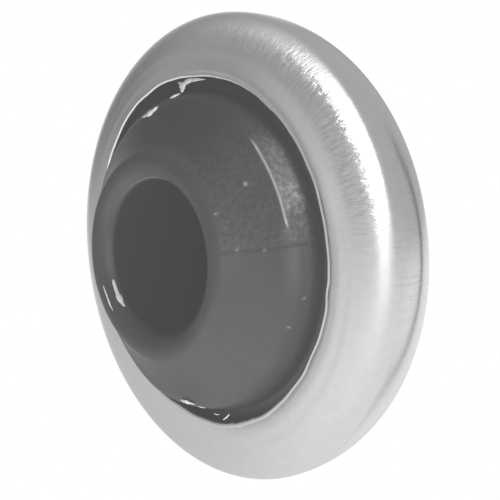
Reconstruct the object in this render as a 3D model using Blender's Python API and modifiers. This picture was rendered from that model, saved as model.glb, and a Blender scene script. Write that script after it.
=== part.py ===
"""Concave wall door stop: a stamped steel cover ring that traps a moulded rubber bumper
against a steel back plate, held to the wall by one screw in a plastic anchor.

Frame: metres, +Z up. The wall is the plane y = 0, the stop stands out towards -Y, and the
origin is the centre of the stop on the wall. Turned parts are drawn as (radius, height)
profiles, where height is the distance from the wall, negative inside the wall.
"""
import math

import bmesh
import bpy
from mathutils import Matrix

MM = 0.001

# Driving dimensions, in millimetres.
RING_RADIUS = 31.75          # widest radius of the cover ring, for a 63.5 mm stop
PROJECTION = 22.2            # wall to the top of the rubber nose
SHEET = 0.9                  # cover ring sheet
WIDEST_HEIGHT = 7.6          # height of the ring's widest circle
RING_HEIGHT = 13.1           # where the ring's dome would be level
DOME_CENTRE_RADIUS = 22.0    # radius at which it would be level
LIP_RADIUS = 23.05           # edge of the ring's opening
HEM_OUTER_RADIUS = 27.4      # flat hem that rests on the wall
HEM_INNER_RADIUS = 26.3

NOSE_BORE_RADIUS = 10.2      # mouth of the recess
NOSE_TUBE = 2.1              # rounding radius of the rubber nose
NOSE_END_ANGLE = 50.0        # where the nose's rounding meets the flank, from level
FLANK_BOW = 0.3              # how far the flank sags between the nose and the crease
CREASE_RADIUS = 20.4         # ridge between the flank and the shoulder
CREASE_HEIGHT = 16.1
NECK_RADIUS = 21.3           # rubber where it passes through the lip
NECK_TOP = 13.2
FLANGE_RADIUS = 26.4         # rubber flange trapped behind the lip
FLANGE_TOP = 11.0
FLANGE_EASE = 0.8            # rounding of the flange's top edge
FLOOR_RADIUS = 9.4           # recess floor, smaller than the mouth by the mould's draft
FLOOR_TOP = 4.5
FLOOR_EASE = 1.0
BOSS_RADIUS = 9.0            # back of the rubber that fills the plate's dish
BOSS_TAPER = 2.4
RELIEF_INNER = 14.4          # annular relief moulded into the back of the rubber
RELIEF_OUTER = 20.2
RELIEF_TOP = 10.6
RELIEF_EASE = 0.8
RELIEF_DRAFT = 0.3

PLATE_RADIUS = 28.0
PLATE_THICKNESS = 1.2
PLATE_RIM_HEIGHT = 1.2       # back of the plate's rim, which lies over the ring's hem
PLATE_EASE = 0.3
DISH_FLOOR_RADIUS = 9.4      # flat pad of the dish, against the wall
DISH_TOP_RADIUS = 11.6
DISH_BEND = 0.5              # the dish's back face is this much wider than its front
HOLE_RADIUS = 2.6            # screw hole through the plate, the rubber and the washer

WASHER_RADIUS = 7.0
WASHER_THICKNESS = 1.0
WASHER_EASE = 0.25
SCREW_MAJOR_RADIUS = 2.08    # number 8 wood screw
SCREW_MINOR_RADIUS = 1.5
SCREW_HEAD_RADIUS = 3.9
SCREW_HEAD_HEIGHT = 2.5
SCREW_HEAD_EASE = 1.4
SCREW_LENGTH = 24.0          # under the head to the point
SCREW_POINT = 4.0
THREAD_PITCH = 1.6
THREAD_START = 7.6           # plain shank under the head
CROSS_LENGTH = 4.2           # cross recess in the screw's head
CROSS_WIDTH = 0.8
CROSS_DEPTH = 1.6

ANCHOR_RADIUS = 3.3          # over the ribs
ANCHOR_WAIST_RADIUS = 2.75
ANCHOR_COLLAR_RADIUS = 4.4
ANCHOR_COLLAR = 1.0
ANCHOR_LENGTH = 21.0         # from the wall plane
ANCHOR_BORE_RADIUS = 2.4
ANCHOR_RIBS = 5
ANCHOR_SLOT = 1.0
ANCHOR_SOLID = 5.0           # unsplit length behind the collar

GAP = 0.3                    # clearance between touching meshes
ROUND_STEPS = 56             # facets of the large turned parts
SMALL_STEPS = 28             # facets of the screw, washer and anchor

MATERIALS = {
    "brushed_stainless": ((0.62, 0.62, 0.61), 0.34, 1.0),
    "grey_rubber": ((0.135, 0.135, 0.132), 0.55, 0.0),
    "zinc_plated_steel": ((0.55, 0.56, 0.58), 0.40, 1.0),
    "bright_screw_steel": ((0.66, 0.66, 0.67), 0.30, 1.0),
    "grey_nylon": ((0.62, 0.62, 0.60), 0.50, 0.0),
}


def clear_scene():
    for item in list(bpy.data.objects):
        bpy.data.objects.remove(item, do_unlink=True)


def new_collection(name):
    collection = bpy.data.collections.new(name)
    bpy.context.scene.collection.children.link(collection)
    return collection


def make_material(name):
    colour, roughness, metallic = MATERIALS[name]
    material = bpy.data.materials.new(name)
    material.use_nodes = True
    shader = material.node_tree.nodes["Principled BSDF"]
    shader.inputs["Base Color"].default_value = (*colour, 1.0)
    shader.inputs["Roughness"].default_value = roughness
    shader.inputs["Metallic"].default_value = metallic
    return material


def arc(centre, radii, start, end, segments):
    """Points on an ellipse about centre, from the start to the end angle in degrees."""
    points = []
    for index in range(segments + 1):
        angle = math.radians(start + (end - start) * index / segments)
        radius = centre[0] + radii[0] * math.cos(angle)
        height = centre[1] + radii[1] * math.sin(angle)
        points.append((radius, height))
    return points


def ease(start, end, bow, segments):
    """Points from start to end on a curve that sags towards the axis by bow."""
    run, drop = end[0] - start[0], end[1] - start[1]
    length = math.hypot(run, drop)
    points = []
    for index in range(segments + 1):
        part = index / segments
        sag = 4.0 * bow * part * (1.0 - part)
        radius = start[0] + run * part + sag * drop / length
        height = start[1] + drop * part - sag * run / length
        points.append((radius, height))
    return points


def turned(name, profile, material, collection, steps, closed=True):
    """A turned part: the (radius, height) profile is screwed round the stop's axis."""
    mesh = bpy.data.meshes.new(name)
    vertices = [(radius * MM, 0.0, height * MM) for radius, height in profile]
    count = len(vertices)
    edges = [(index, index + 1) for index in range(count - 1)]
    if closed:
        edges.append((count - 1, 0))
    mesh.from_pydata(vertices, edges, [])
    part = bpy.data.objects.new(name, mesh)
    part.rotation_euler = (math.radians(90.0), 0.0, 0.0)
    mesh.materials.append(material)
    collection.objects.link(part)
    screw = part.modifiers.new("Turn", 'SCREW')
    screw.angle = math.radians(360.0)
    screw.steps = steps
    screw.render_steps = steps
    screw.use_merge_vertices = True
    screw.merge_threshold = 0.00001
    screw.use_smooth_shade = True
    return part


def box_cutter(name, size, place, collection):
    """A box that cuts another part; size and place are in millimetres."""
    mesh = bpy.data.meshes.new(name)
    shape = bmesh.new()
    scale = Matrix.Diagonal((size[0] * MM, size[1] * MM, size[2] * MM, 1.0))
    bmesh.ops.create_cube(shape, size=1.0, matrix=scale)
    shape.to_mesh(mesh)
    shape.free()
    cutter = bpy.data.objects.new(name, mesh)
    cutter.location = [value * MM for value in place]
    cutter.hide_render = True
    cutter.display_type = 'WIRE'
    collection.objects.link(cutter)
    return cutter


def cut(part, cutter):
    boolean = part.modifiers.new("Cut " + cutter.name, 'BOOLEAN')
    boolean.operation = 'DIFFERENCE'
    boolean.solver = 'EXACT'
    boolean.object = cutter


def cover_ring(material, collection):
    """Stamped ring: rounded lip, dome, bulging side and a flat hem rolled in at the wall."""
    dome_radii = (RING_RADIUS - DOME_CENTRE_RADIUS, RING_HEIGHT - WIDEST_HEIGHT)
    side_radii = (RING_RADIUS - HEM_OUTER_RADIUS, WIDEST_HEIGHT)
    dome_centre = (DOME_CENTRE_RADIUS, WIDEST_HEIGHT)
    side_centre = (HEM_OUTER_RADIUS, WIDEST_HEIGHT)
    inner_dome = (dome_radii[0] - SHEET, dome_radii[1] - SHEET)
    inner_side = (side_radii[0] - SHEET, side_radii[1] - SHEET)
    lip_middle = LIP_RADIUS + 0.5 * SHEET
    reach = lip_middle - DOME_CENTRE_RADIUS
    outer_angle = math.degrees(math.acos(reach / dome_radii[0]))
    inner_angle = math.degrees(math.acos(reach / inner_dome[0]))
    outside = arc(dome_centre, dome_radii, outer_angle, 0.0, 8)
    outside += arc(side_centre, side_radii, 0.0, -90.0, 6)[1:]
    hem = [(HEM_INNER_RADIUS, 0.0), (HEM_INNER_RADIUS, SHEET)]
    inside = arc(side_centre, inner_side, -90.0, 0.0, 5)
    inside += arc(dome_centre, inner_dome, 0.0, inner_angle, 7)[1:]
    lip_height = 0.5 * (outside[0][1] + inside[-1][1])
    half_lip = 0.5 * (outside[0][1] - inside[-1][1])
    lip = arc((lip_middle, lip_height), (0.5 * SHEET, half_lip), 270.0, 90.0, 4)[1:-1]
    return turned("cover_ring", outside + hem + inside + lip, material, collection, ROUND_STEPS)


def rubber_bumper(material, collection):
    """Moulded rubber: rounded nose round a deep recess, flank, shoulder and flange."""
    nose_centre = (NOSE_BORE_RADIUS + NOSE_TUBE, PROJECTION - NOSE_TUBE)
    nose = arc(nose_centre, (NOSE_TUBE, NOSE_TUBE), 180.0, NOSE_END_ANGLE, 7)
    flank = ease(nose[-1], (CREASE_RADIUS, CREASE_HEIGHT), FLANK_BOW, 4)
    shoulder = ease(flank[-1], (NECK_RADIUS, NECK_TOP), 0.0, 2)
    flange_centre = (FLANGE_RADIUS - FLANGE_EASE, FLANGE_TOP - FLANGE_EASE)
    flange = arc(flange_centre, (FLANGE_EASE, FLANGE_EASE), 90.0, 0.0, 2)
    back = PLATE_RIM_HEIGHT + PLATE_THICKNESS + GAP
    boss_back = PLATE_THICKNESS + GAP
    relief = [
        (RELIEF_OUTER + RELIEF_DRAFT, back),
        (RELIEF_OUTER, RELIEF_TOP - RELIEF_EASE),
        (RELIEF_OUTER - RELIEF_EASE, RELIEF_TOP),
        (RELIEF_INNER + RELIEF_EASE, RELIEF_TOP),
        (RELIEF_INNER, RELIEF_TOP - RELIEF_EASE),
        (RELIEF_INNER - RELIEF_DRAFT, back),
    ]
    boss = [(BOSS_RADIUS + BOSS_TAPER, back), (BOSS_RADIUS, boss_back), (HOLE_RADIUS, boss_back)]
    floor = [
        (HOLE_RADIUS, FLOOR_TOP),
        (FLOOR_RADIUS - FLOOR_EASE, FLOOR_TOP),
        (FLOOR_RADIUS, FLOOR_TOP + FLOOR_EASE),
    ]
    profile = nose + flank[1:] + shoulder[1:] + [(NECK_RADIUS, FLANGE_TOP)]
    profile += flange + [(FLANGE_RADIUS, back)] + relief + boss + floor
    return turned("rubber_bumper", profile, material, collection, ROUND_STEPS)


def back_plate(material, collection):
    """Pressed steel disc, dished so that its middle pad meets the wall."""
    rim_top = PLATE_RIM_HEIGHT + PLATE_THICKNESS
    profile = [
        (HOLE_RADIUS, PLATE_THICKNESS),
        (DISH_FLOOR_RADIUS, PLATE_THICKNESS),
        (DISH_TOP_RADIUS, rim_top),
        (PLATE_RADIUS - PLATE_EASE, rim_top),
        (PLATE_RADIUS, rim_top - PLATE_EASE),
        (PLATE_RADIUS, PLATE_RIM_HEIGHT),
        (DISH_TOP_RADIUS + DISH_BEND, PLATE_RIM_HEIGHT),
        (DISH_FLOOR_RADIUS + DISH_BEND, 0.0),
        (HOLE_RADIUS, 0.0),
    ]
    return turned("back_plate", profile, material, collection, ROUND_STEPS)


def screw_washer(material, collection):
    """Flat washer that spreads the screw's load over the rubber floor."""
    low = FLOOR_TOP + GAP
    high = low + WASHER_THICKNESS
    profile = [
        (HOLE_RADIUS, high),
        (WASHER_RADIUS - WASHER_EASE, high),
        (WASHER_RADIUS, high - WASHER_EASE),
        (WASHER_RADIUS, low),
        (HOLE_RADIUS, low),
    ]
    return turned("screw_washer", profile, material, collection, SMALL_STEPS)


def mounting_screw(material, cutters, collection):
    """Pan head screw with a cross recess and a turned thread, pointing into the wall."""
    seat = FLOOR_TOP + WASHER_THICKNESS + 2.0 * GAP
    crown = seat + SCREW_HEAD_HEIGHT
    tip = seat - SCREW_LENGTH
    ease_centre = (SCREW_HEAD_RADIUS - SCREW_HEAD_EASE, crown - SCREW_HEAD_EASE)
    head = [(0.0, crown)] + arc(ease_centre, (SCREW_HEAD_EASE, SCREW_HEAD_EASE), 90.0, 0.0, 4)
    head += [(SCREW_HEAD_RADIUS, seat), (SCREW_MAJOR_RADIUS, seat)]
    thread = [(SCREW_MAJOR_RADIUS, seat - THREAD_START)]
    turns = int((SCREW_LENGTH - THREAD_START - SCREW_POINT) / THREAD_PITCH)
    for turn in range(turns):
        start = seat - THREAD_START - turn * THREAD_PITCH
        thread.append((SCREW_MINOR_RADIUS, start - 0.30 * THREAD_PITCH))
        thread.append((SCREW_MINOR_RADIUS, start - 0.65 * THREAD_PITCH))
        thread.append((SCREW_MAJOR_RADIUS, start - 0.95 * THREAD_PITCH))
    thread.append((SCREW_MINOR_RADIUS, tip + SCREW_POINT))
    profile = head + thread + [(0.0, tip)]
    screw = turned("mounting_screw", profile, material, collection, SMALL_STEPS, closed=False)
    height = CROSS_DEPTH + 1.0
    middle = 0.5 * height - CROSS_DEPTH + crown
    wide = (CROSS_LENGTH, height, CROSS_WIDTH)
    tall = (CROSS_WIDTH, height, CROSS_LENGTH)
    cut(screw, box_cutter("cross_wide", wide, (0.0, -middle, 0.0), cutters))
    cut(screw, box_cutter("cross_tall", tall, (0.0, -middle, 0.0), cutters))
    return screw


def wall_anchor(material, cutters, collection):
    """Ribbed nylon plug in the wall, split along most of its length."""
    collar_back = -GAP - ANCHOR_COLLAR
    rib = (ANCHOR_LENGTH - ANCHOR_COLLAR - GAP) / (ANCHOR_RIBS + 1)
    profile = [
        (ANCHOR_BORE_RADIUS, -GAP),
        (ANCHOR_COLLAR_RADIUS, -GAP),
        (ANCHOR_RADIUS, collar_back),
    ]
    for index in range(ANCHOR_RIBS):
        start = collar_back - index * rib
        profile.append((ANCHOR_WAIST_RADIUS, start - 0.55 * rib))
        profile.append((ANCHOR_RADIUS, start - rib))
    profile.append((ANCHOR_WAIST_RADIUS, -ANCHOR_LENGTH))
    profile.append((ANCHOR_BORE_RADIUS, -ANCHOR_LENGTH))
    anchor = turned("wall_anchor", profile, material, collection, SMALL_STEPS)
    slot_start = -collar_back + ANCHOR_SOLID
    slot_end = ANCHOR_LENGTH + 1.0
    size = (4.0 * ANCHOR_RADIUS, slot_end - slot_start, ANCHOR_SLOT)
    place = (0.0, 0.5 * (slot_start + slot_end), 0.0)
    cut(anchor, box_cutter("anchor_slot", size, place, cutters))
    return anchor


def main():
    clear_scene()
    parts = new_collection("concave_wall_door_stop")
    cutters = new_collection("cutters")
    looks = {name: make_material(name) for name in MATERIALS}
    cover_ring(looks["brushed_stainless"], parts)
    rubber_bumper(looks["grey_rubber"], parts)
    back_plate(looks["zinc_plated_steel"], parts)
    screw_washer(looks["zinc_plated_steel"], parts)
    mounting_screw(looks["bright_screw_steel"], cutters, parts)
    wall_anchor(looks["grey_nylon"], cutters, parts)


main()
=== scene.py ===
"""Looks of the concave wall door stop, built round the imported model.

Frame: metres, +Z up. The wall is the plane y = 0, the stop stands out towards -Y and its axis
is the Y axis. Turned pieces are drawn as (radius, height) profiles in millimetres, where
height is the distance from the wall, negative inside the wall. Angles round the axis are in
degrees, from +X towards +Z.
"""
import math

import bmesh
import bpy
import numpy as np
from mathutils import Matrix, Vector


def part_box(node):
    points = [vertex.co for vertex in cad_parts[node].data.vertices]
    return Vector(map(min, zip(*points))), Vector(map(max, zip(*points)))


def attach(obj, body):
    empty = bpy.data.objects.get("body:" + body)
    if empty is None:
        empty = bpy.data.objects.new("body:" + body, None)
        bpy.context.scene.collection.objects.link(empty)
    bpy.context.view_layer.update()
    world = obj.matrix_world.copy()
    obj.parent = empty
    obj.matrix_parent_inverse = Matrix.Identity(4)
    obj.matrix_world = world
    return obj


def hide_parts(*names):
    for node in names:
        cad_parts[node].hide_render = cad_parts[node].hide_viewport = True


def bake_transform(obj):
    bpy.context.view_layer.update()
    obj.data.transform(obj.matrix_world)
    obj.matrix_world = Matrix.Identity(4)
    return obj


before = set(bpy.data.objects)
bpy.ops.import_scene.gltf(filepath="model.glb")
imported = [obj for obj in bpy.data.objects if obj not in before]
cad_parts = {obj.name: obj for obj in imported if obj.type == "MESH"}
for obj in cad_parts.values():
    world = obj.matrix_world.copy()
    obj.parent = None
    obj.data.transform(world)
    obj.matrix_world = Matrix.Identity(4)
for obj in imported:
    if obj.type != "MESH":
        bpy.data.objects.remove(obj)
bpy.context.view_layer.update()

MM = 0.001

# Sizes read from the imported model, in millimetres.
RING_RADIUS = (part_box("cover_ring")[1] / MM).x
RUBBER_LOW, RUBBER_HIGH = (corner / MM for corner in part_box("rubber_bumper"))
PLATE_LOW, PLATE_HIGH = (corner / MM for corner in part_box("back_plate"))
WASHER_LOW, WASHER_HIGH = (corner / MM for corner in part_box("screw_washer"))
SCREW_LOW, SCREW_HIGH = (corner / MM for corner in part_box("mounting_screw"))
ANCHOR_LOW, ANCHOR_HIGH = (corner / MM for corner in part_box("wall_anchor"))
PROJECTION = -RUBBER_LOW.y
FLANGE_RADIUS = RUBBER_HIGH.x

# Cover ring, in millimetres.
WIDEST_HEIGHT = 7.6
DOME_CENTRE_RADIUS = 22.0
DOME_HEIGHT = 5.5            # above the widest circle, were the dome level in the middle
HEM_OUTER_RADIUS = 27.4
HEM_INNER_RADIUS = 26.3
LIP_RADIUS = 23.2
LIP_ROLL_RADIUS = 24.6       # inside this the stamping turns down towards the lip
LIP_ROLL_DROP = 0.22
LIP_SHEET = 0.60             # coined thinner at the lip
LIP_BEAD = (0.40, 0.31)      # half width and height of the rounded edge of the lip
LIP_BEAD_POINTS = 10
LIP_PALE_POINTS = 6          # how many of them, from the inside, are the paler bare edge, also pale as a painted highlight line
LIP_RISE = 0.07              # the rounded edge stands this much proud of the dome
HEM_SHEET = 0.8

# Rubber bumper, in millimetres.
NOSE_BORE_RADIUS = 10.2
NOSE_TUBE = 2.1
NOSE_END_ANGLE = 50.0
FLANK_BOW = 0.3
CREASE_RADIUS = 20.4
CREASE_HEIGHT = 16.1
FLANK_END = (-0.17, 0.13)    # radius and height from the crease
BEAD_CENTRE = (-0.13, -0.12)
BEAD_ANGLES = (78.0, -6.0)   # where the bead along the crease starts and ends
CREASE_BEAD = 0.3            # and its rounding radius
CREASE_POINTS = (9, 4)       # points before and after the bead that are rounded over where it is soft
NECK_RADIUS = 21.3
NECK_TOP = 13.2
FLANGE_TOP = 11.0
FLOOR_RADIUS = 9.4
FLOOR_TOP = 4.5
FLOOR_EASE = 1.0
BACK_GAP = 0.3               # between the rubber's back and the plate
BOSS_RADIUS = 9.0            # back of the rubber that fills the plate's dish
BOSS_TAPER = 2.4
BOSS_BACK = 1.5
RELIEF_INNER = 14.4          # annular relief in the back of the rubber
RELIEF_OUTER = 20.2
RELIEF_TOP = 10.6
RELIEF_DRAFT = 0.3
SCREW_HOLE_RADIUS = 2.6
PARTING_ANGLE = 8.5          # where the mould's halves met

# Plate, screw and anchor, in millimetres.
PLATE_THICKNESS = 1.2
DISH_FLOOR_RADIUS = 9.4      # flat pad of the dish, against the wall
DISH_TOP_RADIUS = 11.6
DISH_BEND = 0.5              # the dish's back face is this much wider than its front
SCREW_HEAD_HEIGHT = 2.5
SCREW_MAJOR_RADIUS = 2.08
SCREW_MINOR_RADIUS = 1.5
SCREW_POINT = 4.0
THREAD_PITCH = 1.6
THREAD_START = 7.6           # plain shank under the head
CROSS_DEPTH = 1.6
CROSS_PIT = 0.2              # the recess is this much deeper in the middle
CROSS_REACH = 0.2            # the cutters stand out of the head by this much
ANCHOR_COLLAR = 1.0
ANCHOR_BORE_RADIUS = 2.4
ANCHOR_WAIST_RADIUS = 2.75
ANCHOR_RIB_RADIUS = 3.3
ANCHOR_RIBS = 5
ANCHOR_SLOT_START = 5.0      # from the back of the collar
ANCHOR_SLOT_HALF_WIDTH = 0.5

# Camera: where it stands (m), its turn and tilt about the stop, and its lens.
CAMERA_PLACE = (0.17023, -0.15458, 0.03136)
CAMERA_AZIMUTH = 48.68
CAMERA_ELEVATION = 8.03
CAMERA_ROLL = -0.16
CAMERA_LENS = 120.2

TURN_STEPS = 600             # round the ring and the rubber: each stays under 200,000 triangles
FILLET_SHARE = 0.4           # a fillet takes at most this share of the side next to it
FLAT_GUARD = 1.2             # where the points beside a fillet stand, in fillets from the corner
JOIN_DISTANCE = 1e-8
SHARP_ANGLE = 34.0           # cut edges sharper than this are shaded flat


# ---------------------------------------------------------------- mesh helpers

def arc(centre, radii, start, end, count):
    """Points on an ellipse about centre, from the start to the end angle in degrees."""
    angles = np.radians(np.linspace(start, end, count + 1))
    return [(centre[0] + radii[0] * math.cos(a), centre[1] + radii[1] * math.sin(a)) for a in angles]


def line(start, end, count):
    """Points from just after start to end."""
    parts = np.linspace(0.0, 1.0, count + 1)[1:]
    return [(start[0] + (end[0] - start[0]) * p, start[1] + (end[1] - start[1]) * p) for p in parts]


def sagging(start, end, bow, count):
    """Points from just after start to end, on a curve that sags towards the axis by bow."""
    run, drop = end[0] - start[0], end[1] - start[1]
    length = math.hypot(run, drop)
    points = []
    for part in np.linspace(0.0, 1.0, count + 1)[1:]:
        sag = 4.0 * bow * part * (1.0 - part)
        points.append((start[0] + run * part + sag * drop / length,
                       start[1] + drop * part - sag * run / length))
    return points


def filleted(corners, closed=True, steps=4):
    """A profile from (radius, height, fillet) corners, each rounded by its fillet in steps.

    Points either side of a fillet keep the flats next to it flat under smooth shading.
    """
    points = []
    count = len(corners)
    for index, (radius, height, fillet) in enumerate(corners):
        corner = Vector((radius, height))
        if fillet == 0.0 or (not closed and index in (0, count - 1)):
            points.append(tuple(corner))
            continue
        before = Vector(corners[index - 1][:2]) - corner
        after = Vector(corners[(index + 1) % count][:2]) - corner
        start = min(fillet, FILLET_SHARE * before.length) * before.normalized()
        end = min(fillet, FILLET_SHARE * after.length) * after.normalized()
        points.append(tuple(corner + FLAT_GUARD * start))
        for part in np.linspace(0.0, 1.0, steps + 1):
            points.append(tuple(corner + start * (1.0 - part) ** 2 + end * part ** 2))
        points.append(tuple(corner + FLAT_GUARD * end))
    return points


def smooth(edge0, edge1, value):
    """0 at edge0, 1 at edge1, with level ends."""
    part = np.clip((value - edge0) / (edge1 - edge0), 0.0, 1.0)
    return part * part * (3.0 - 2.0 * part)


def bump(angle, centre, width):
    """A smooth bump of height 1 in an angle round the axis, in degrees."""
    away = (angle - centre + 180.0) % 360.0 - 180.0
    return np.exp(-(away / width) ** 2)


def bumps(angle, table):
    """Several bumps added up, each (angle, width in degrees, size)."""
    return sum(size * bump(angle, centre, width) for centre, width, size in table)


def turned(name, profile, steps, shape=None, closed=True):
    """A turned mesh. shape(angle, radius, height, along) may return a changed radius and height.

    Points carry two attributes for the materials: place, in millimetres, and turn, which is the
    cosine and sine of the angle and the length along the profile in millimetres.
    """
    profile = np.array(profile, float)
    count = len(profile)
    along = np.concatenate([[0.0], np.cumsum(np.hypot(*np.diff(profile, axis=0).T))])
    angle = np.linspace(0.0, 360.0, steps, endpoint=False)
    radius = np.repeat(profile[:, 0:1], steps, axis=1)
    height = np.repeat(profile[:, 1:2], steps, axis=1)
    angles = np.repeat(angle[None, :], count, axis=0)
    lengths = np.repeat(along[:, None], steps, axis=1)
    if shape:
        radius, height = shape(angles, radius, height, lengths)
    cos, sin = np.cos(np.radians(angles)), np.sin(np.radians(angles))
    points = np.stack([radius * cos, -height, radius * sin], axis=-1).reshape(-1, 3)
    rows = count if closed else count - 1
    low = np.arange(rows)[:, None] * steps
    high = ((np.arange(rows) + 1) % count)[:, None] * steps
    here = np.arange(steps)[None, :]
    there = (here + 1) % steps
    faces = np.stack([low + here, high + here, high + there, low + there], axis=-1).reshape(-1, 4)
    mesh = bpy.data.meshes.new(name)
    mesh.from_pydata((points * MM).tolist(), [], faces.tolist())
    turn = np.stack([cos, sin, lengths], axis=-1).reshape(-1)
    mesh.attributes.new("turn", "FLOAT_VECTOR", "POINT").data.foreach_set("vector", turn)
    piece = bpy.data.objects.new(name, mesh)
    bpy.context.scene.collection.objects.link(piece)
    tidy_mesh(mesh)
    return piece


def tidy_mesh(mesh):
    """Joins the points at the poles, turns the faces outwards and shades them smooth."""
    made = bmesh.new()
    made.from_mesh(mesh)
    bmesh.ops.remove_doubles(made, verts=made.verts, dist=JOIN_DISTANCE)
    if made.calc_volume(signed=True) < 0.0:
        bmesh.ops.reverse_faces(made, faces=made.faces)
    made.to_mesh(mesh)
    made.free()
    mesh.shade_smooth()
    mark_places(mesh)


def vertex_places(mesh):
    """Every vertex's place in millimetres, as rows."""
    flat = np.empty(len(mesh.vertices) * 3)
    mesh.vertices.foreach_get("co", flat)
    return flat.reshape(-1, 3) / MM


def mark_places(mesh):
    """Gives each vertex its place in millimetres as an attribute, for the materials."""
    marks = mesh.attributes.get("place") or mesh.attributes.new("place", "FLOAT_VECTOR", "POINT")
    marks.data.foreach_set("vector", vertex_places(mesh).reshape(-1))


def wedge(name, mouth, floor, low, high):
    """A tapered block along the stop's axis; mouth and floor are (x, z) half sizes."""
    mesh = bpy.data.meshes.new(name)
    corners = []
    for (half_x, half_z), height in ((floor, low), (mouth, high)):
        for x, z in ((-1, -1), (1, -1), (1, 1), (-1, 1)):
            corners.append((x * half_x * MM, -height * MM, z * half_z * MM))
    faces = [(0, 1, 2, 3), (7, 6, 5, 4), (0, 4, 5, 1), (1, 5, 6, 2), (2, 6, 7, 3), (3, 7, 4, 0)]
    mesh.from_pydata(corners, [], faces)
    cutter = bpy.data.objects.new(name, mesh)
    bpy.context.scene.collection.objects.link(cutter)
    tidy_mesh(mesh)
    return cutter


def cut(piece, *cutters):
    """Cuts the cutters out of a piece and removes them."""
    for cutter in cutters:
        boolean = piece.modifiers.new(cutter.name, 'BOOLEAN')
        boolean.operation = 'DIFFERENCE'
        boolean.solver = 'EXACT'
        boolean.object = cutter
    graph = bpy.context.evaluated_depsgraph_get()
    mesh = bpy.data.meshes.new_from_object(
        piece.evaluated_get(graph), preserve_all_data_layers=True, depsgraph=graph)
    piece.modifiers.clear()
    piece.data = mesh
    for cutter in cutters:
        bpy.data.objects.remove(cutter)
    mark_places(mesh)
    mesh.set_sharp_from_angle(angle=math.radians(SHARP_ANGLE))


def put(piece, node, body="base"):
    """Puts a piece in a CAD node's place, on a body."""
    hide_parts(node)
    if body:
        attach(piece, body)


# ------------------------------------------------------------ material helpers

def add(tree, kind, settings=None, **inputs):
    """A shader node; an underscore in an input's name stands for a space."""
    node = tree.nodes.new(kind)
    for name, value in (settings or {}).items():
        setattr(node, name, value)
    for name, value in inputs.items():
        plug(tree, node.inputs[name.replace("_", " ")], value)
    return node


def plug(tree, socket, value):
    """Links a socket to another node's output, or sets its value."""
    if isinstance(value, bpy.types.NodeSocket):
        tree.links.new(value, socket)
    else:
        socket.default_value = value


def calc(tree, operation, *values):
    """A Math node's result."""
    node = tree.nodes.new("ShaderNodeMath")
    node.operation = operation
    for socket, value in zip(node.inputs, values):
        plug(tree, socket, value)
    return node.outputs[0]


def remap(tree, value, low, high, to_low, to_high):
    """to_low below low and to_high above high, with a smooth step between."""
    node = add(tree, "ShaderNodeMapRange", {"interpolation_type": 'SMOOTHSTEP'}, Value=value)
    for name, number in (("From Min", low), ("From Max", high), ("To Min", to_low), ("To Max", to_high)):
        node.inputs[name].default_value = number
    return node.outputs[0]


def product(tree, *values):
    """Values multiplied together."""
    result = values[0]
    for value in values[1:]:
        result = calc(tree, 'MULTIPLY', result, value)
    return result


def window(tree, value, rise, fall):
    """0, then 1 from the end of rise to the start of fall, then 0; both are (start, end)."""
    return product(tree, remap(tree, value, *rise, 0.0, 1.0), remap(tree, value, *fall, 1.0, 0.0))


def share(tree, name):
    """A mesh attribute that holds one number."""
    return add(tree, "ShaderNodeAttribute", {"attribute_name": name}).outputs["Fac"]


def attribute(tree, name):
    """A mesh attribute that holds a vector."""
    return add(tree, "ShaderNodeAttribute", {"attribute_name": name}).outputs["Vector"]


def scaled(tree, vector, factors):
    """A vector with each part multiplied by its own factor."""
    node = add(tree, "ShaderNodeVectorMath", {"operation": 'MULTIPLY'})
    plug(tree, node.inputs[0], vector)
    node.inputs[1].default_value = factors
    return node.outputs[0]


def noise(tree, vector, scale, detail=2.0, rough=0.5):
    """Noise of about 0.5, with scale features in a unit of the vector."""
    node = add(tree, "ShaderNodeTexNoise", Vector=vector, Scale=scale, Detail=detail, Roughness=rough)
    return node.outputs["Fac"]


def grey_mix(tree, fac, dark, light):
    """A grey between two colours. dark may also be another node's output."""
    node = add(tree, "ShaderNodeMix", {"data_type": 'RGBA'}, Factor=fac)
    plug(tree, node.inputs["A"], (*dark, 1.0) if isinstance(dark, tuple) else dark)
    node.inputs["B"].default_value = (*light, 1.0)
    return node.outputs["Result"]


def relief(tree, height, distance, normal=None):
    """A bump of the given depth in metres, over another normal."""
    node = add(tree, "ShaderNodeBump", Height=height, Distance=distance)
    if normal is not None:
        plug(tree, node.inputs["Normal"], normal)
    return node.outputs["Normal"]


def new_material(name):
    """A material with its node tree and its Principled shader."""
    material = bpy.data.materials.new(name)
    material.use_nodes = True
    tree = material.node_tree
    return material, tree, tree.nodes["Principled BSDF"]


def set_look(piece, material):
    """Gives the whole piece one material."""
    piece.data.materials.clear()
    piece.data.materials.append(material)


# ------------------------------------------------------------------- materials

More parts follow.
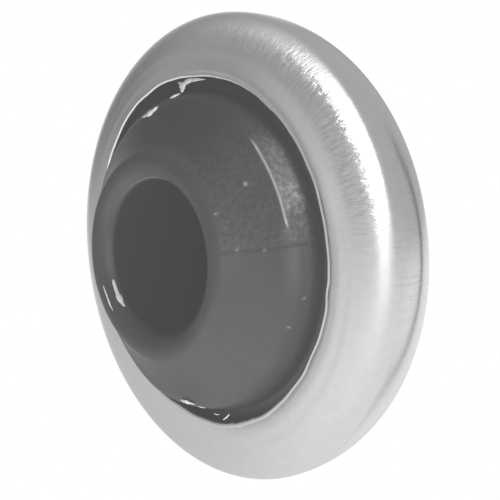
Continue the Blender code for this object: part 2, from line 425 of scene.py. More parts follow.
def brushed_stainless(lip_length):
    """Satin stainless, smooth by the lip and brushed in short strokes over its shoulder.

    aside and rise are the cosine and sine of the angle; along is in millimetres from the lip.
    """
    material, tree, shader = new_material("brushed_stainless")
    turn = attribute(tree, "turn")
    aside, rise, along = add(tree, "ShaderNodeSeparateXYZ", Vector=turn).outputs

    # How strongly the brushing shows: over the shoulder, in uneven patches, less at the edges.
    patches = noise(tree, scaled(tree, turn, (8.0, 8.0, 0.35)), 1.0, 2.0)
    brushed = product(
        tree, remap(tree, along, 4.2, 6.6, 0.12, 1.0), remap(tree, along, 8.6, 10.4, 1.0, 0.15),
        remap(tree, rise, 0.05, 0.32, 0.10, 1.0), remap(tree, rise, 0.86, 0.97, 1.0, 0.4),
        remap(tree, patches, 0.38, 0.62, 0.7, 1.3), remap(tree, aside, -0.35, 0.35, 0.3, 1.0))
    hair = noise(tree, scaled(tree, turn, (120.0, 120.0, 1.3)), 1.0, 2.0, 0.6)
    hair = remap(tree, hair, 0.3, 0.7, 0.0, 1.0)
    streak = noise(tree, scaled(tree, turn, (56.0, 56.0, 0.6)), 1.0, 3.0, 0.6)
    streak = remap(tree, streak, 0.33, 0.67, 0.0, 1.0)
    strokes = calc(tree, 'MULTIPLY_ADD', hair, 0.4, calc(tree, 'MULTIPLY', streak, 0.6))
    strokes = product(tree, calc(tree, 'SUBTRACT', strokes, 0.5), brushed)
    mottle = noise(tree, attribute(tree, "place"), 1.1, 4.0, 0.6)

    # Lighter above the lip as painted light, darker in the dip by it and in a ring on the shoulder as
    # painted shade, and darker in side scratches.
    painted_lip_light = product(tree, window(tree, along, (1.8, 2.6), (3.8, 5.2)),
                    remap(tree, rise, 0.1, 0.4, 0.0, 0.16), remap(tree, aside, 0.2, 0.55, 0.0, 1.0))
    dip_start, dip_middle, dip_end = lip_length + 0.35, lip_length + 0.6, lip_length + 2.0
    painted_dip_shade = product(tree, window(tree, along, (dip_start, dip_middle), (dip_middle, dip_end)),
                     remap(tree, aside, -0.1, 0.8, 0.0, 0.34))
    painted_ring_shade = product(tree, window(tree, along, (4.4, 5.6), (6.6, 8.4)),
                     remap(tree, rise, 0.05, 0.35, 0.0, 0.12))
    scratch = noise(tree, scaled(tree, turn, (85.0, 85.0, 0.12)), 1.0, 2.0, 0.5)
    scratch = product(tree, remap(tree, scratch, 0.55, 0.72, 0.0, 0.12),
                      remap(tree, aside, 0.86, 0.96, 0.0, 1.0), remap(tree, along, 9.0, 11.0, 0.0, 1.0),
                      remap(tree, rise, -0.3, -0.1, 0.0, 1.0))
    tone = calc(tree, 'MULTIPLY_ADD', strokes, 0.22, 0.5)
    tone = calc(tree, 'MULTIPLY_ADD', calc(tree, 'SUBTRACT', mottle, 0.5), 0.19, tone)
    tone = calc(tree, 'ADD', tone, painted_lip_light)
    for darker in (painted_dip_shade, painted_ring_shade, scratch):
        tone = calc(tree, 'SUBTRACT', tone, darker)
    face = grey_mix(tree, tone, (0.38, 0.38, 0.377), (0.99, 0.99, 0.983))
    # The lip's bare edge is pale, and pale also as a painted highlight line along it.
    edge = remap(tree, along, lip_length - 0.05, lip_length + 0.1, 1.0, 0.0)
    plug(tree, shader.inputs["Base Color"], grey_mix(tree, edge, face, (0.95, 0.95, 0.945)))

    polish = remap(tree, along, 11.0, 13.0, 0.33, 0.23)
    plug(tree, shader.inputs["Roughness"], calc(tree, 'MULTIPLY_ADD', strokes, 0.14, polish))
    shader.inputs["Metallic"].default_value = 1.0
    shader.inputs["Anisotropic"].default_value = 0.8
    tangent = add(tree, "ShaderNodeTangent", {"direction_type": 'RADIAL', "axis": 'Y'})
    plug(tree, shader.inputs["Tangent"], tangent.outputs[0])
    normal = relief(tree, product(tree, hair, brushed), 0.000011)
    normal = relief(tree, product(tree, streak, brushed), 0.000036, normal)
    normal = relief(tree, mottle, 0.000012, normal)
    plug(tree, shader.inputs["Normal"], normal)
    return material


def grey_rubber():
    """Moulded rubber: a fine matt grain above the mould's parting line, smoother below it."""
    material, tree, shader = new_material("grey_rubber")
    place = attribute(tree, "place")
    texture = calc(tree, 'MULTIPLY_ADD', share(tree, "grained"), 0.85, 0.15)
    grain = remap(tree, noise(tree, place, 1.5, 3.0, 0.55), 0.30, 0.70, 0.0, 1.0)
    speck = noise(tree, place, 1.2, 2.0, 0.5)
    cloud = noise(tree, place, 0.22, 2.0)
    grit = product(tree, calc(tree, 'SUBTRACT', grain, 0.5), texture)
    tone = calc(tree, 'MULTIPLY_ADD', cloud, 0.4, 0.3)
    tone = calc(tree, 'ADD', calc(tree, 'MULTIPLY', grit, 0.6), tone)
    rubber = grey_mix(tree, tone, (0.012, 0.012, 0.0117), (0.036, 0.036, 0.035))
    # Painted light on the shoulder under the crisp crease, with a little grain in it.
    painted_shoulder_light = product(tree, share(tree, "painted_shoulder_light"), calc(tree, 'MULTIPLY_ADD', grain, 0.10, 0.05))
    # Painted highlights on the crisp crease and the mouth's upper edge, painted light on the shoulder, and
    # paler pimples mix the rubber towards pale.
    painted_light_and_pimples = calc(tree, 'MAXIMUM', share(tree, "ridge"), painted_shoulder_light)
    rubber_with_painted_light = grey_mix(tree, painted_light_and_pimples, rubber, (0.34, 0.34, 0.33))
    # Painted shade: darker and less shiny in the recess, at the near end of the parting groove and over
    # the top of the flank.
    deep = share(tree, "deep")
    plug(tree, shader.inputs["Base Color"], grey_mix(tree, deep, rubber_with_painted_light, (0.012, 0.012, 0.012)))
    plug(tree, shader.inputs["Roughness"], calc(tree, 'MULTIPLY_ADD', grit, -0.2, 0.44))
    plug(tree, shader.inputs["Specular IOR Level"], calc(tree, 'MULTIPLY_ADD', deep, -0.15, 0.22))
    height = product(tree, calc(tree, 'MULTIPLY_ADD', grain, 0.5, speck), texture)
    plug(tree, shader.inputs["Normal"], relief(tree, height, 0.00006))
    return material


def glint_strand_gloss():
    """Pale and glossy, for the strands that paint glints on the rubber."""
    material, tree, shader = new_material("glint_strand_gloss")
    fine = noise(tree, add(tree, "ShaderNodeTexCoord").outputs["Object"], 1500.0, 2.0)
    plug(tree, shader.inputs["Base Color"], grey_mix(tree, fine, (0.34, 0.34, 0.33), (0.52, 0.52, 0.505)))
    shader.inputs["Roughness"].default_value = 0.3
    shader.inputs["Coat Weight"].default_value = 0.25
    plug(tree, shader.inputs["Normal"], relief(tree, fine, 0.000006))
    return material


def zinc_plate():
    """Dull zinc plate with fine rolling marks and a faint spangle."""
    material, tree, shader = new_material("zinc_plated_steel")
    place = attribute(tree, "place")
    rolled = noise(tree, scaled(tree, place, (9.0, 9.0, 0.5)), 1.0, 2.0)
    spangle = add(tree, "ShaderNodeTexVoronoi", Vector=place, Scale=0.55).outputs["Color"]
    tone = calc(tree, 'MULTIPLY_ADD', rolled, 0.5, calc(tree, 'MULTIPLY', spangle, 0.5))
    plug(tree, shader.inputs["Base Color"], grey_mix(tree, tone, (0.50, 0.51, 0.53), (0.62, 0.63, 0.65)))
    plug(tree, shader.inputs["Roughness"], calc(tree, 'MULTIPLY_ADD', rolled, 0.15, 0.32))
    shader.inputs["Metallic"].default_value = 1.0
    plug(tree, shader.inputs["Normal"], relief(tree, rolled, 0.00001))
    return material


def screw_steel():
    """Bright plated screw steel."""
    material, tree, shader = new_material("bright_screw_steel")
    place = attribute(tree, "place")
    fine = noise(tree, place, 4.0, 2.0)
    plug(tree, shader.inputs["Base Color"], grey_mix(tree, fine, (0.60, 0.60, 0.61), (0.72, 0.72, 0.73)))
    plug(tree, shader.inputs["Roughness"], calc(tree, 'MULTIPLY_ADD', fine, 0.18, 0.2))
    shader.inputs["Metallic"].default_value = 1.0
    plug(tree, shader.inputs["Normal"], relief(tree, fine, 0.00001))
    return material


def grey_nylon():
    """Moulded nylon with a soft sheen."""
    material, tree, shader = new_material("grey_nylon")
    place = attribute(tree, "place")
    fine = noise(tree, place, 3.0, 3.0)
    cloud = noise(tree, place, 0.4, 2.0)
    tone = calc(tree, 'MULTIPLY_ADD', fine, 0.3, calc(tree, 'MULTIPLY', cloud, 0.7))
    plug(tree, shader.inputs["Base Color"], grey_mix(tree, tone, (0.55, 0.55, 0.53), (0.68, 0.68, 0.66)))
    plug(tree, shader.inputs["Roughness"], calc(tree, 'MULTIPLY_ADD', fine, 0.2, 0.38))
    shader.inputs["Subsurface Weight"].default_value = 0.1
    shader.inputs["Subsurface Scale"].default_value = 0.001
    plug(tree, shader.inputs["Normal"], relief(tree, fine, 0.00002))
    return material


# ---------------------------------------------------------------------- pieces

# Bumps in the lip: (angle, width in degrees, size).
LIP_WAVES = (                # changes of radius, in millimetres
    (-144.0, 8.0, 0.30),
    (-130.0, 4.0, -0.50),
    (-102.0, 11.0, -0.36),
    (-38.0, 14.0, -0.15),
    (-7.5, 3.0, -0.14),
    (-3.5, 2.5, 0.13),
    (-12.0, 12.0, 0.12),
    (40.0, 15.0, 0.10),
    (92.0, 9.0, -0.22),
    (130.0, 27.0, 0.55),
)
LIP_DROPS = ((-5.0, 45.0, 0.5), (118.0, 45.0, -0.45))          # as shares of LIP_ROLL_DROP
LIP_RIDGE = ((8.0, 52.0, 0.08),)                               # height, in millimetres
LIP_RIDGE_HALF_WIDTH = 0.17
BURR_LEAST = 0.02                                              # everywhere, in millimetres
BURR_MORE = ((55.0, 22.0, 0.06), (-72.0, 14.0, 0.05))          # on top of that
BURR_SEED = 5
RIPPLES = ((17.0, 0.0, 0.04), (29.0, 40.0, 0.03))              # (waves in a turn, phase, size)
RIPPLE_GROWTH = ((-25.0, 30.0, 0.8),)                          # as a share of the ripples
PRESS_RING = (25.1, 1.9, 0.025)                                # start, spacing and height


def dome_height(radius):
    """Height of the ring's outside at a radius, with the roll down to the lip."""
    reach = (radius - DOME_CENTRE_RADIUS) / (RING_RADIUS - DOME_CENTRE_RADIUS)
    dome = WIDEST_HEIGHT + DOME_HEIGHT * np.sqrt(np.clip(1.0 - reach * reach, 0.0, 1.0))
    roll = np.clip((LIP_ROLL_RADIUS - radius) / (LIP_ROLL_RADIUS - LIP_RADIUS), 0.0, 2.0)
    return dome - LIP_ROLL_DROP * roll * roll


def press_waves(radius):
    """Faint rings left in the face by the press tool."""
    start, spacing, size = PRESS_RING
    face = smooth(24.2, 25.0, radius) * (1.0 - smooth(27.0, 28.6, radius))
    return size * np.sin(2.0 * math.pi * (radius - start) / spacing) * face


def ring_shape(angle, radius, height, along):
    """The lip runs slightly out of round along the dome, with a rough pressed edge."""
    near_lip = 1.0 - smooth(LIP_RADIUS + 0.2, LIP_RADIUS + 3.5, radius)
    at_edge = 1.0 - smooth(LIP_RADIUS, LIP_RADIUS + 0.7, radius)
    ripple = sum(size * np.sin(np.radians(angle * count + phase)) for count, phase, size in RIPPLES)
    ripple = ripple * (1.0 + bumps(angle, RIPPLE_GROWTH))
    random = np.random.default_rng(BURR_SEED).normal(0.0, 1.0, angle.shape[1])
    wrapped = np.concatenate([random[-3:], random, random[:3]])
    burr = np.convolve(wrapped, np.hanning(7) / 3.0, "valid")[None, :]
    rough = (BURR_LEAST + bumps(angle, BURR_MORE)) * at_edge
    moved = radius + (bumps(angle, LIP_WAVES) + ripple) * near_lip + burr * rough
    rolled = np.clip((LIP_ROLL_RADIUS - radius) / (LIP_ROLL_RADIUS - LIP_RADIUS), 0.0, 1.3) ** 2
    deeper = LIP_ROLL_DROP * bumps(angle, LIP_DROPS) * rolled
    from_crest = (radius - LIP_RADIUS - LIP_BEAD[0]) / LIP_RIDGE_HALF_WIDTH
    ridge = bumps(angle, LIP_RIDGE) * np.exp(-from_crest ** 2)
    lift = (dome_height(moved) - dome_height(radius)) * near_lip - deeper + ridge
    front = smooth(11.0, 12.0, height)
    return moved, height + lift + press_waves(radius) * front


def cover_ring():
    """Stamped ring: rounded lip, dome, side curving back to the wall and a hem behind.

    The profile starts under the lip, so that the length along it tells the lip from the face.
    """
    width = RING_RADIUS - DOME_CENTRE_RADIUS
    crest = LIP_RADIUS + LIP_BEAD[0]
    crown = float(dome_height(crest)) + LIP_RISE
    lip = filleted([(LIP_RADIUS + 0.5, crown - LIP_SHEET, 0.0), (LIP_RADIUS, crown - LIP_SHEET, 0.1),
                    (LIP_RADIUS, crown - LIP_BEAD[1], 0.0)], closed=False)
    bead = arc((crest, crown - LIP_BEAD[1]), LIP_BEAD, 180.0, 60.0, LIP_BEAD_POINTS)[1:]
    pale_edge_and_highlight = lip + bead[:LIP_PALE_POINTS]
    lip_length = sum(math.dist(*pair) for pair in zip(pale_edge_and_highlight, pale_edge_and_highlight[1:]))
    lip += bead
    face_start = bead[-1][0] + 0.1
    outside = [(r, float(dome_height(r))) for r in np.linspace(face_start, LIP_ROLL_RADIUS, 14)]
    start = math.degrees(math.acos((LIP_ROLL_RADIUS - DOME_CENTRE_RADIUS) / width))
    outside += arc((DOME_CENTRE_RADIUS, WIDEST_HEIGHT), (width, DOME_HEIGHT), start, 0.0, 44)[1:]
    side = (RING_RADIUS - HEM_OUTER_RADIUS, WIDEST_HEIGHT)
    outside += arc((HEM_OUTER_RADIUS, WIDEST_HEIGHT), side, 0.0, -90.0, 28)[1:]
    hem = filleted([(HEM_OUTER_RADIUS, 0.0, 0.0), (HEM_INNER_RADIUS, 0.0, 0.12),
                    (HEM_INNER_RADIUS, HEM_SHEET, 0.12), (HEM_OUTER_RADIUS, HEM_SHEET, 0.0)],
                   closed=False)[1:-1]
    inner_side = (side[0] - HEM_SHEET, side[1] - HEM_SHEET)
    inside = arc((HEM_OUTER_RADIUS, WIDEST_HEIGHT), inner_side, -90.0, 0.0, 14)
    inner = (width - HEM_SHEET, DOME_HEIGHT - LIP_SHEET)
    end = math.degrees(math.acos((LIP_RADIUS + 1.4 - DOME_CENTRE_RADIUS) / inner[0]))
    inside += arc((DOME_CENTRE_RADIUS, WIDEST_HEIGHT), inner, 0.0, end, 16)[1:]
    inside += line(inside[-1], lip[0], 6)[:-1]
    piece = turned("cover_ring_brushed", lip + outside + hem + inside, TURN_STEPS, ring_shape)
    set_look(piece, brushed_stainless(lip_length))
    put(piece, "cover_ring")


PIMPLES = (                  # (angle, radius, size in millimetres) of small moulding marks
    (36.5, 17.6, 0.24), (29.0, 14.0, 0.16), (9.0, 15.1, 0.16), (8.0, 17.7, 0.16),
    (-10.0, 21.1, 0.14), (-21.0, 20.6, 0.14),
)
SWELLING = ((-112.0, 18.0, 0.5),)                              # of the shoulder, low down
PARTING_GROOVE = (0.06, 0.17)                                  # depth and half width
PARTING_STEP = 0.02                                            # the upper half stands proud
GLINT_STRANDS = (                   # pale strands that paint glints on the rubber: (angle, radius, height, half width in millimetres)
    ((115.5, 19.60, 16.75, 0.10), (112.5, 19.45, 16.86, 0.38), (109.5, 19.45, 16.88, 0.60),
     (107.2, 19.70, 16.70, 0.46), (105.6, 19.95, 16.52, 0.12)),
    ((101.0, 20.75, 15.50, 0.12), (100.0, 21.00, 14.90, 0.36), (98.8, 21.25, 14.30, 0.14)),
    ((96.8, 21.30, 14.60, 0.10), (98.0, 21.80, 14.15, 0.42), (98.8, 22.30, 13.75, 0.56),
     (98.0, 22.65, 13.45, 0.56), (95.5, 22.80, 13.35, 0.42), (92.5, 22.85, 13.30, 0.26),
     (88.5, 22.90, 13.25, 0.06)),
    ((99.3, 22.45, 13.65, 0.30), (103.0, 22.95, 13.20, 0.08)),
    ((-157.0, 10.48, 21.12, 0.10), (-153.5, 10.48, 21.15, 0.26), (-149.0, 10.48, 21.15, 0.20),
     (-144.0, 10.48, 21.15, 0.38), (-139.0, 10.46, 21.12, 0.34), (-134.0, 10.44, 21.05, 0.08)),
    ((-155.0, 11.70, 22.10, 0.05), (-148.0, 11.65, 22.09, 0.14), (-141.0, 11.70, 22.10, 0.12),
     (-136.0, 11.75, 22.11, 0.04)),
    ((-92.8, 20.05, 16.50, 0.12), (-91.2, 20.05, 16.50, 0.40), (-88.8, 20.05, 16.50, 0.42),
     (-86.5, 20.15, 16.42, 0.20), (-85.0, 20.30, 16.30, 0.06)),
    ((-84.0, 20.50, 16.15, 0.05), (-82.5, 20.60, 16.05, 0.14), (-80.5, 20.70, 15.95, 0.05)),
    ((-84.0, 21.90, 13.50, 0.05), (-82.5, 22.00, 13.45, 0.16), (-81.0, 22.00, 13.50, 0.05)),
    ((-80.5, 22.75, 13.10, 0.06), (-78.0, 22.40, 13.25, 0.14), (-75.5, 22.00, 13.50, 0.06)),
)
STRAND_SIDES = 12
STRAND_STEPS = 14            # between two of a strand's points
STRAND_FLATNESS = 0.5        # thickness over width
FLANK_NORMAL = (0.77, 0.64)  # away from the axis and away from the wall, off the nose


def crisp_reach(angle):
    """1 where the crease is crisp and carries a painted highlight, above the parting line, and 0
    elsewhere.
    """
    return smooth(13.0, 19.0, angle) * (1.0 - smooth(42.0, 56.0, angle))


def pimple_field(angle, radius):
    """The pimples as (height in millimetres, paleness)."""
    lift, pale = 0.0, 0.0
    for centre, middle, size in PIMPLES:
        around = np.radians((angle - centre + 180.0) % 360.0 - 180.0) * middle
        dome = np.exp(-(around ** 2 + (1.3 * (radius - middle)) ** 2) / (size * size))
        lift, pale = lift + 0.5 * size * dome, np.maximum(pale, dome * size / 0.3)
    return lift, pale


def from_parting(angle, radius):
    """Distance round the axis from the nearer end of the parting line, in millimetres."""
    return np.radians((angle - PARTING_ANGLE + 90.0) % 180.0 - 90.0) * radius


def rubber_shape(start, crease, end):
    """The shape of the rubber. start and end, either side of the crease, are (along, radius, height).

    The crease is rounded over except where it is crisp. The mould's halves left a fine groove
    and step where they met, and there are a few small pimples.
    """
    def shape(angle, radius, height, along):
        part = np.clip((along - start[0]) / (end[0] - start[0]), 0.0, 1.0)
        softened = ((part > 0.0) & (part < 1.0)) * (1.0 - crisp_reach(angle))
        rounded = []
        for sharp, first, middle, last in zip((radius, height), start[1:], crease, end[1:]):
            soft = first * (1 - part) ** 2 + 2 * middle * part * (1 - part) + last * part ** 2
            rounded.append(sharp + (soft - sharp) * softened)
        radius, height = rounded
        on_shoulder = smooth(19.0, 20.6, radius) * smooth(12.8, 14.2, height)
        radius = radius + bumps(angle, SWELLING) * on_shoulder
        outside = smooth(13.0, 13.8, radius) * smooth(10.5, 12.0, height)
        distance = from_parting(angle, radius)
        depth, half_width = PARTING_GROOVE
        lift = PARTING_STEP * smooth(-0.1, 0.3, distance) - depth * np.exp(-(distance / half_width) ** 2)
        lift = (lift + pimple_field(angle, radius)[0]) * outside
        return radius + 0.6 * lift, height + 0.8 * lift
    return shape


def mark_painted_light_and_grain(mesh):
    """Marks each point of the rubber with painted shade, painted highlights and pale pimples, painted
    light on the shoulder, and grain, for its material.
    """
    x, y, z = vertex_places(mesh).T
    radius, height, angle = np.hypot(x, z), -y, np.degrees(np.arctan2(z, x))
    outwards = radius - NOSE_BORE_RADIUS

    # Painted shade: darker in the recess, at the near end of the parting groove, and over the top of the
    # flank.
    recess = (1.0 - smooth(0.01, 0.07, outwards)) * smooth(FLOOR_TOP - 0.1, FLOOR_TOP + 0.1, height)
    groove = 0.5 * np.exp(-(from_parting(angle, radius) / 0.22) ** 2) * smooth(13.0, 14.0, radius)
    groove *= 1.0 - smooth(90.0, 91.0, np.abs(angle))
    painted_flank_top_shade = 0.7 * smooth(42.0, 75.0, angle) * (1.0 - smooth(112.0, 140.0, angle))
    painted_flank_top_shade *= smooth(14.0, 15.5, radius)

    # Pale: painted highlights on the crisp crease and the upper edge of the recess's mouth, and the paler
    # pimples.
    ridge = np.exp(-((radius - CREASE_RADIUS) / 0.13) ** 2 - ((height - CREASE_HEIGHT) / 0.25) ** 2)
    pimples = 0.8 * pimple_field(angle, radius)[1] * (height > 14.0)
    mouth = np.exp(-((outwards - 0.22) / 0.1) ** 2) + 0.12 * np.exp(-((outwards - 0.5) / 0.3) ** 2)
    mouth = 0.35 * mouth * (height > 20.5) * bump(angle, 78.0, 45.0)

    # Painted light: the shoulder under the crisp crease is paled. Grained: above the parting line, less at
    # the top.
    painted_shoulder_light = smooth(CREASE_RADIUS, CREASE_RADIUS + 0.1, radius) * smooth(12.95, 13.2, height)
    painted_shoulder_light *= crisp_reach(angle) * smooth(19.0, 23.0, angle)
    grained = smooth(PARTING_ANGLE - 1.0, PARTING_ANGLE + 1.0, angle)
    grained *= (1.0 - 0.8 * smooth(58.0, 80.0, angle)) * smooth(12.5, 14.5, radius)

    marks = {"deep": np.maximum.reduce([recess, groove, painted_flank_top_shade]),
             "ridge": np.maximum.reduce([ridge * crisp_reach(angle), pimples, mouth]),
             "painted_shoulder_light": painted_shoulder_light, "grained": grained}
    for name, values in marks.items():
        mesh.attributes.new(name, "FLOAT", "POINT").data.foreach_set("value", values)


def rubber_bumper():
    """Moulded rubber: rounded nose round a deep recess, flank, shoulder and flange."""
    nose_centre = (NOSE_BORE_RADIUS + NOSE_TUBE, PROJECTION - NOSE_TUBE)
    nose = arc(nose_centre, (NOSE_TUBE, NOSE_TUBE), 180.0, NOSE_END_ANGLE, 26)
    flank_end = (CREASE_RADIUS + FLANK_END[0], CREASE_HEIGHT + FLANK_END[1])
    flank = sagging(nose[-1], flank_end, FLANK_BOW, 44)
    bead_centre = (CREASE_RADIUS + BEAD_CENTRE[0], CREASE_HEIGHT + BEAD_CENTRE[1])
    bead = arc(bead_centre, (CREASE_BEAD, CREASE_BEAD), *BEAD_ANGLES, 10)
    shoulder = line(bead[-1], (NECK_RADIUS, NECK_TOP), 12)
    neck = line(shoulder[-1], (NECK_RADIUS, FLANGE_TOP + 0.3), 3)
    rim_top = -PLATE_LOW.y
    back = rim_top + BACK_GAP
    flange = filleted([
        (NECK_RADIUS, FLANGE_TOP + 0.3, 0.0), (NECK_RADIUS + 0.3, FLANGE_TOP, 0.0),
        (FLANGE_RADIUS, FLANGE_TOP, 0.8), (FLANGE_RADIUS, back, 0.25),
        (RELIEF_OUTER + RELIEF_DRAFT, back, 0.25), (RELIEF_OUTER, RELIEF_TOP, 0.8),
        (RELIEF_INNER, RELIEF_TOP, 0.8), (RELIEF_INNER - RELIEF_DRAFT, back, 0.25),
        (BOSS_RADIUS + BOSS_TAPER, back, 0.2), (BOSS_RADIUS, BOSS_BACK, 0.2),
        (SCREW_HOLE_RADIUS, BOSS_BACK, 0.15), (SCREW_HOLE_RADIUS, FLOOR_TOP, 0.15),
        (FLOOR_RADIUS, FLOOR_TOP, FLOOR_EASE), (NOSE_BORE_RADIUS, PROJECTION - NOSE_TUBE, 0.0),
    ], closed=False, steps=2)[1:-1]
    bore = line(flange[-1], nose[0], 10)[:-1]
    profile = nose + flank + bead + shoulder + neck + flange + bore
    steps = np.hypot(*np.diff(np.array(profile), axis=0).T)
    along = np.concatenate([[0.0], np.cumsum(steps)])
    first = len(nose + flank) - CREASE_POINTS[0]
    last = len(nose + flank + bead) + CREASE_POINTS[1]
    shape = rubber_shape((along[first], *profile[first]), (CREASE_RADIUS, CREASE_HEIGHT),
                         (along[last], *profile[last]))
    piece = turned("rubber_bumper_moulded", profile, TURN_STEPS, shape)
    mark_painted_light_and_grain(piece.data)
    set_look(piece, grey_rubber())
    put(piece, "rubber_bumper", body=None)
    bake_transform(piece)


def glint_strands():
    """Pale glossy strands laid on the rubber as painted glints."""
    made = bmesh.new()
    for strand in GLINT_STRANDS:
        knots = np.array(strand)
        steps = np.linspace(0.0, len(knots) - 1.0, STRAND_STEPS * (len(knots) - 1) + 1)
        angle, radius, height, half = (np.interp(steps, range(len(knots)), column) for column in knots.T)
        cos, sin = np.cos(np.radians(angle)), np.sin(np.radians(angle))
        path = np.stack([radius * cos, -height, radius * sin], axis=1)
        ahead = np.gradient(path, axis=0)
        ahead /= np.linalg.norm(ahead, axis=1)[:, None]
        on_nose = height > PROJECTION - NOSE_TUBE
        away = np.where(on_nose, radius - NOSE_BORE_RADIUS - NOSE_TUBE, FLANK_NORMAL[0])
        up = np.where(on_nose, height - PROJECTION + NOSE_TUBE, FLANK_NORMAL[1])
        out = np.stack([away * cos, -up, away * sin], axis=1) / np.hypot(away, up)[:, None]
        side = np.cross(ahead, out)
        side /= np.linalg.norm(side, axis=1)[:, None]
        out = np.cross(side, ahead)
        half = half * (1.0 + 0.12 * np.sin(4.1 * steps))
        rings = []
        for index in range(len(steps)):
            ring = []
            for part in range(STRAND_SIDES):
                turn = 2.0 * math.pi * part / STRAND_SIDES
                wide = math.cos(turn) * side[index]
                thick = STRAND_FLATNESS * math.sin(turn) * out[index]
                ring.append(made.verts.new((path[index] + half[index] * (wide + thick)) * MM))
            rings.append(ring)
        for first, second in zip(rings, rings[1:]):
            for part in range(STRAND_SIDES):
                after = (part + 1) % STRAND_SIDES
                made.faces.new((first[part], first[after], second[after], second[part]))
        made.faces.new(rings[0][::-1])
        made.faces.new(rings[-1])
    bmesh.ops.recalc_face_normals(made, faces=made.faces)
    mesh = bpy.data.meshes.new("glint_strands")
    made.to_mesh(mesh)
    made.free()
    mesh.shade_smooth()
    piece = bpy.data.objects.new("glint_strands", mesh)
    bpy.context.scene.collection.objects.link(piece)
    set_look(piece, glint_strand_gloss())
    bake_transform(piece)


def back_plate():
    """Pressed steel disc with a dished middle pad and a pierced hole."""
    rim_top, radius = -PLATE_LOW.y, PLATE_HIGH.x
    rim_back = rim_top - PLATE_THICKNESS
    profile = filleted([
        (SCREW_HOLE_RADIUS, PLATE_THICKNESS, 0.14), (DISH_FLOOR_RADIUS, PLATE_THICKNESS, 0.9),
        (DISH_TOP_RADIUS, rim_top, 0.9), (radius, rim_top, 0.3), (radius, rim_back, 0.1),
        (DISH_TOP_RADIUS + DISH_BEND, rim_back, 0.7), (DISH_FLOOR_RADIUS + DISH_BEND, 0.0, 0.7),
        (SCREW_HOLE_RADIUS, 0.0, 0.05),
    ])
    piece = turned("back_plate_pressed", profile, steps=240)
    set_look(piece, zinc_plate())
    put(piece, "back_plate")


def screw_washer():
    """Stamped washer: rolled over on its top edges, square underneath."""
    low, high, radius = -WASHER_HIGH.y, -WASHER_LOW.y, WASHER_HIGH.x
    profile = filleted([
        (SCREW_HOLE_RADIUS, high, 0.15), (radius, high, 0.3), (radius, low, 0.04),
        (SCREW_HOLE_RADIUS, low, 0.04),
    ])
    piece = turned("screw_washer_stamped", profile, steps=200)
    set_look(piece, zinc_plate())
    put(piece, "screw_washer")


def thread_shape(angle, radius, height, along):
    """A helical thread below the plain shank, running out on the point."""
    seat, tip = -SCREW_LOW.y - SCREW_HEAD_HEIGHT, -SCREW_HIGH.y
    start = seat - THREAD_START
    turn = ((height - start) / THREAD_PITCH + angle / 360.0) % 1.0
    flanks = np.clip(1.0 - np.abs(turn - 0.5) / 0.33, 0.0, 1.0)
    crest = np.clip(flanks * 1.25, 0.0, 1.0)
    grown = smooth(start, start - 1.2, height)
    point = np.clip((height - tip) / SCREW_POINT, 0.0, 1.0) ** 0.8
    depth = (SCREW_MAJOR_RADIUS - SCREW_MINOR_RADIUS) * (crest * grown + 1.0 - grown)
    return np.where(height < start, (SCREW_MINOR_RADIUS + depth) * point, radius), height


def mounting_screw():
    """Pan head wood screw with a tapered cross recess and a helical thread."""
    crown, tip, head = -SCREW_LOW.y, -SCREW_HIGH.y, SCREW_HIGH.x
    seat = crown - SCREW_HEAD_HEIGHT
    start = seat - THREAD_START
    profile = [(0.0, crown)] + filleted([
        (0.0, crown, 0.0), (head, crown, 1.7), (head, seat, 0.2), (SCREW_MAJOR_RADIUS, seat, 0.12),
        (SCREW_MAJOR_RADIUS, start, 0.0),
    ], closed=False)[1:]
    profile += line(profile[-1], (SCREW_MINOR_RADIUS, tip), 250)
    profile[-1] = (0.0, tip)
    piece = turned("mounting_screw_threaded", profile, steps=96, shape=thread_shape, closed=False)
    deep, above = crown - CROSS_DEPTH, crown + CROSS_REACH
    cut(piece,
        wedge("cross_wide", (2.2, 0.50), (1.0, 0.30), deep, above),
        wedge("cross_tall", (0.50, 2.2), (0.30, 1.0), deep, above),
        wedge("cross_middle", (0.95, 0.95), (0.5, 0.5), deep - CROSS_PIT, above))
    set_look(piece, screw_steel())
    put(piece, "mounting_screw")


def wall_anchor():
    """Moulded plug: collar, saw-tooth ribs, a bore and a split to spread it."""
    gap, length, collar_radius = ANCHOR_LOW.y, ANCHOR_HIGH.y, ANCHOR_HIGH.x
    collar_back = -gap - ANCHOR_COLLAR
    rib = (length - ANCHOR_COLLAR - gap) / (ANCHOR_RIBS + 1)
    corners = [(ANCHOR_BORE_RADIUS, -gap, 0.2), (collar_radius, -gap, 0.2),
               (ANCHOR_RIB_RADIUS, collar_back, 0.2)]
    for index in range(ANCHOR_RIBS):
        start = collar_back - index * rib
        corners += [(ANCHOR_WAIST_RADIUS, start - 0.55 * rib, 0.3),
                    (ANCHOR_RIB_RADIUS, start - rib, 0.16),
                    (ANCHOR_WAIST_RADIUS + 0.1, start - rib - 0.12, 0.0)]
    corners += [(ANCHOR_WAIST_RADIUS, -length, 0.2), (ANCHOR_BORE_RADIUS, -length, 0.05)]
    piece = turned("wall_anchor_moulded", filleted(corners), steps=160)
    slot_half = (2.0 * ANCHOR_RIB_RADIUS, ANCHOR_SLOT_HALF_WIDTH)
    cut(piece, wedge("anchor_slot", slot_half, slot_half, -length - 1.0, collar_back - ANCHOR_SLOT_START))
    set_look(piece, grey_nylon())
    put(piece, "wall_anchor")


# ---------------------------------------------------------------------- studio

LAMP_DISTANCE = 0.6          # metres
BLACK_LEVEL = -0.068         # below zero lifts the blacks


def direction(azimuth, elevation):
    """Unit vector from the stop towards an azimuth and elevation, as the views name them."""
    a, e = math.radians(azimuth), math.radians(elevation)
    return Vector((math.sin(a) * math.cos(e), -math.cos(a) * math.cos(e), math.sin(e)))


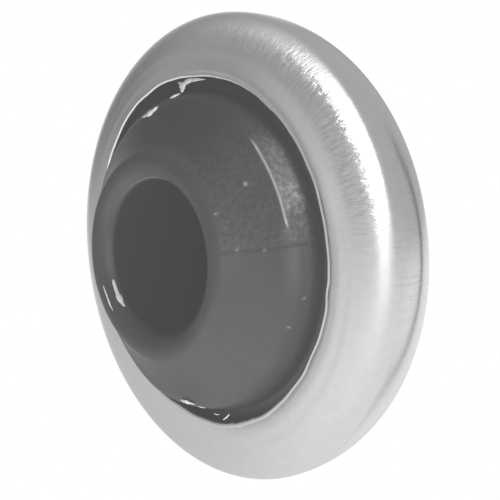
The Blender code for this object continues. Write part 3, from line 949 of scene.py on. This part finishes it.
def softbox(name, azimuth, elevation, size, radiance, receivers, lean=0.0):
    """A rectangular lamp that looks at the stop and lights only the receivers.

    Its brightness is given as radiance. lean tips its top towards smaller azimuths, in degrees.
    """
    light = bpy.data.lights.new(name, 'AREA')
    light.shape = 'RECTANGLE'
    light.size, light.size_y = size
    light.energy = radiance * math.pi * size[0] * size[1]
    lamp = bpy.data.objects.new(name, light)
    towards = direction(azimuth, elevation)
    lamp.location = towards * LAMP_DISTANCE
    upright = towards.to_track_quat('Z', 'Y').to_matrix()
    lamp.rotation_euler = (upright @ Matrix.Rotation(math.radians(lean), 3, 'Z')).to_euler()
    lamp.visible_camera = False
    bpy.context.scene.collection.objects.link(lamp)
    group = bpy.data.collections.new(name + "_receivers")
    for piece in receivers:
        group.objects.link(piece)
    lamp.light_linking.receiver_collection = group


def lamps():
    """Lamps for the ring, and lamps for the rubber and the strands on it."""
    ring = [bpy.data.objects["cover_ring_brushed"]]
    softbox("key_for_metal", 53.0, 43.0, (0.46, 0.52), 3.5, ring, lean=17.0)
    softbox("low_key_for_metal", 54.0, 6.0, (0.26, 0.36), 0.55, ring)
    rubber = [bpy.data.objects["rubber_bumper_moulded"], bpy.data.objects["glint_strands"]]
    softbox("side_for_rubber", 63.0, 4.0, (0.48, 0.48), 4.7, rubber)
    softbox("edge_for_rubber", 98.0, 36.0, (0.15, 0.15), 42.0, rubber)
    softbox("fill_for_rubber", 0.0, -50.0, (0.70, 0.70), 2.0, rubber)


def studio_world():
    """White for the camera; for the stop, a bright sweep below and a grey tent above.

    Behind the stop, as the main view sees it, stand a grey sheet and, to its left, a white one,
    and a narrow dark strip darkens the ring's edge. All of it is fixed in the world.
    """
    world = bpy.data.worlds.new("studio")
    bpy.context.scene.world = world
    world.use_nodes = True
    tree = world.node_tree
    tree.nodes.clear()
    way = add(tree, "ShaderNodeTexCoord").outputs["Generated"]
    x, y, z = add(tree, "ShaderNodeSeparateXYZ", Vector=way).outputs
    tent = remap(tree, x, -0.9, -0.3, 0.20, 0.48)
    sweep = remap(tree, x, -0.9, -0.2, 0.62, 0.98)
    above = remap(tree, z, -0.10, 0.0, 0.0, 1.0)
    level = calc(tree, 'MULTIPLY_ADD', above, calc(tree, 'SUBTRACT', tent, sweep), sweep)
    strip = product(tree, window(tree, x, (0.12, 0.16), (0.22, 0.27)),
                    remap(tree, y, 0.4, 0.6, 0.0, 1.0), remap(tree, z, 0.36, 0.5, 1.0, 0.0))
    level = product(tree, level, calc(tree, 'MULTIPLY_ADD', strip, -0.9, 1.0))
    behind = add(tree, "ShaderNodeVectorMath", {"operation": 'DOT_PRODUCT'})
    plug(tree, behind.inputs[0], way)
    behind.inputs[1].default_value = -direction(CAMERA_AZIMUTH, 0.0)
    facing = behind.outputs["Value"]
    sheet = product(tree, remap(tree, facing, 0.52, 0.62, 0.0, 0.46), remap(tree, x, -0.6, -0.4, 0.0, 1.0))
    left = product(tree, remap(tree, facing, 0.82, 0.93, 0.0, 1.0), remap(tree, x, -0.75, -0.5, 1.0, 0.0))
    seen = add(tree, "ShaderNodeLightPath").outputs["Is Camera Ray"]
    for brighter in (sheet, left, seen):
        level = calc(tree, 'MAXIMUM', level, brighter)
    glow = add(tree, "ShaderNodeBackground", Strength=level)
    glow.inputs["Color"].default_value = (1.0, 1.0, 1.0, 1.0)
    add(tree, "ShaderNodeOutputWorld", Surface=glow.outputs[0])


def camera():
    """The main view: a long lens, looking a little down on the stop's front from the +X side."""
    data = bpy.data.cameras.new("camera")
    data.lens = CAMERA_LENS
    data.sensor_width = 36.0
    data.clip_start = 0.01
    eye = bpy.data.objects.new("camera", data)
    bpy.context.scene.collection.objects.link(eye)
    eye.location = CAMERA_PLACE
    back = direction(CAMERA_AZIMUTH, CAMERA_ELEVATION)
    turn = back.to_track_quat('Z', 'Y').to_matrix().to_4x4()
    eye.rotation_euler = (turn @ Matrix.Rotation(math.radians(CAMERA_ROLL), 4, 'Z')).to_euler()
    bpy.context.scene.camera = eye


def faded_print():
    """The plain view transform, with blacks lifted as in a faded print."""
    view = bpy.context.scene.view_settings
    view.view_transform = 'Standard'
    view.use_curve_mapping = True
    view.curve_mapping.black_level = (BLACK_LEVEL, BLACK_LEVEL, BLACK_LEVEL)


cover_ring()
rubber_bumper()
glint_strands()
back_plate()
screw_washer()
mounting_screw()
wall_anchor()
camera()
studio_world()
lamps()
faded_print()
